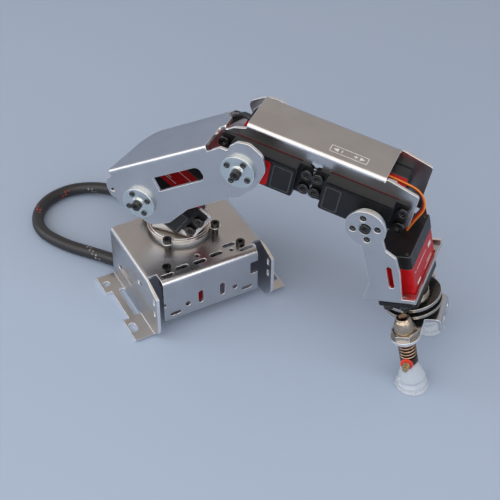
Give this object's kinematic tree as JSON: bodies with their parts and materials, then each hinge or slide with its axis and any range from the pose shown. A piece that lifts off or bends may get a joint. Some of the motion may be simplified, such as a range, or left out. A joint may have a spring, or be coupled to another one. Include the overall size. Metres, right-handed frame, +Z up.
{
  "type": "desktop robot arm",
  "caption": "Desktop robot arm of bent sheet brackets and hobby servos on a turning base, with a slotted wrist bracket and a suction bar of sprung bellows cups.",
  "frame": {"origin": "Where the base's turning axis meets the floor.", "axes": "+Z up along the turning axis, +X along the front panel to its right, +Y to the open back of the base."},
  "size_m": [0.1958, 0.271, 0.1417],
  "materials": {
    "sheet_metal": "bead-blasted satin with bright bends and cut edges",
    "horn_metal": "turned, bright",
    "servo_black": "satin moulded",
    "servo_red": "red anodised",
    "black_steel": "black oxide",
    "bright_steel": "ground",
    "nickel_brass": "nickel plated, worn warm",
    "silicone": "translucent",
    "white_plastic": "smooth",
    "braid": "braided sleeve",
    "lead_black": "sleeved",
    "lead_orange": "flat servo lead"
  },
  "bodies": {
    "base": {"base_housing": "sheet_metal", "servo_cradle": "sheet_metal", "cradle_spacers": "black_steel", "base_screws": "black_steel", "turntable_guides": "black_steel", "thrust_ring": "white_plastic", "base_servo_top": "servo_black", "base_servo_middle": "servo_red", "base_servo_bottom": "servo_black", "cable_loom": "braid"},
    "turntable": {"base_servo_shaft": "bright_steel", "base_horn": "horn_metal", "turntable_disc": "horn_metal", "shoulder_bracket": "sheet_metal", "turntable_screws": "black_steel", "shoulder_servo_top": "servo_black", "shoulder_servo_middle": "servo_red", "shoulder_servo_bottom": "servo_black", "shoulder_stud": "bright_steel"},
    "upper_arm": {"upper_link": "sheet_metal", "shoulder_servo_shaft": "bright_steel", "shoulder_horn": "horn_metal", "elbow_servo_shaft": "bright_steel", "elbow_horn": "horn_metal", "upper_arm_screws": "black_steel", "link_bushings": "nickel_brass"},
    "forearm": {"forearm_cover": "sheet_metal", "elbow_servo_top": "servo_black", "elbow_servo_middle": "servo_red", "elbow_servo_bottom": "servo_black", "wrist_servo_top": "servo_black", "wrist_servo_middle": "servo_red", "wrist_servo_bottom": "servo_black", "forearm_screws": "black_steel", "forearm_studs": "bright_steel", "elbow_lead": "lead_black"},
    "hand": {"hand_bracket": "sheet_metal", "wrist_servo_shaft": "bright_steel", "wrist_horn": "horn_metal", "hand_screws": "black_steel", "tool_servo_top": "servo_black", "tool_servo_middle": "servo_red", "tool_servo_bottom": "servo_black", "wrist_lead": "lead_orange"},
    "tool": {"tool_servo_shaft": "bright_steel", "tool_horn": "horn_metal", "tool_spacer": "servo_black", "tool_disc": "horn_metal", "suction_bar": "sheet_metal", "tool_screws": "black_steel", "plunger_sleeves": "nickel_brass", "lock_nuts": "nickel_brass"},
    "near_plunger": {"near_stem": "bright_steel", "near_barb": "nickel_brass", "near_spring": "bright_steel", "near_cup": "silicone"},
    "far_plunger": {"far_stem": "bright_steel", "far_barb": "nickel_brass", "far_spring": "bright_steel", "far_cup": "silicone"}
  },
  "joints": [
    {"name": "base_yaw", "type": "hinge", "parent": "base", "child": "turntable", "pos_m": [0, 0, 0.0431], "axis": [0, 0, 1], "range_deg": [-129.3, 50.7], "deforming": ["cable_loom"]},
    {"name": "shoulder_pitch", "type": "hinge", "parent": "turntable", "child": "upper_arm", "pos_m": [-0.00621, 0.00758, 0.08], "axis": [-0.7738, -0.6334, 0], "range_deg": [-15, 60]},
    {"name": "elbow_pitch", "type": "hinge", "parent": "upper_arm", "child": "forearm", "pos_m": [0.03341, -0.04082, 0.12156], "axis": [-0.7738, -0.6334, 0], "range_deg": [-15, 40], "deforming": ["elbow_lead"]},
    {"name": "wrist_pitch", "type": "hinge", "parent": "forearm", "child": "hand", "pos_m": [0.08083, -0.09876, 0.10849], "axis": [-0.7738, -0.6334, 0], "range_deg": [-20, 70], "deforming": ["wrist_lead"]},
    {"name": "tool_roll", "type": "hinge", "parent": "hand", "child": "tool", "pos_m": [0.08906, -0.12239, 0.05029], "axis": [0.1425, -0.1741, -0.9744], "range_deg": [-90, 90]},
    {"name": "near_cup_press", "type": "slide", "parent": "tool", "child": "near_plunger", "axis": [-0.1425, 0.1741, 0.9744], "range_m": [0, 0.006], "stiffness_N_per_m": 300, "springref_m": -0.004, "deforming": ["near_spring"]},
    {"name": "far_cup_press", "type": "slide", "parent": "tool", "child": "far_plunger", "axis": [-0.1425, 0.1741, 0.9744], "range_m": [0, 0.006], "stiffness_N_per_m": 300, "springref_m": -0.004, "deforming": ["far_spring"]}
  ]
}
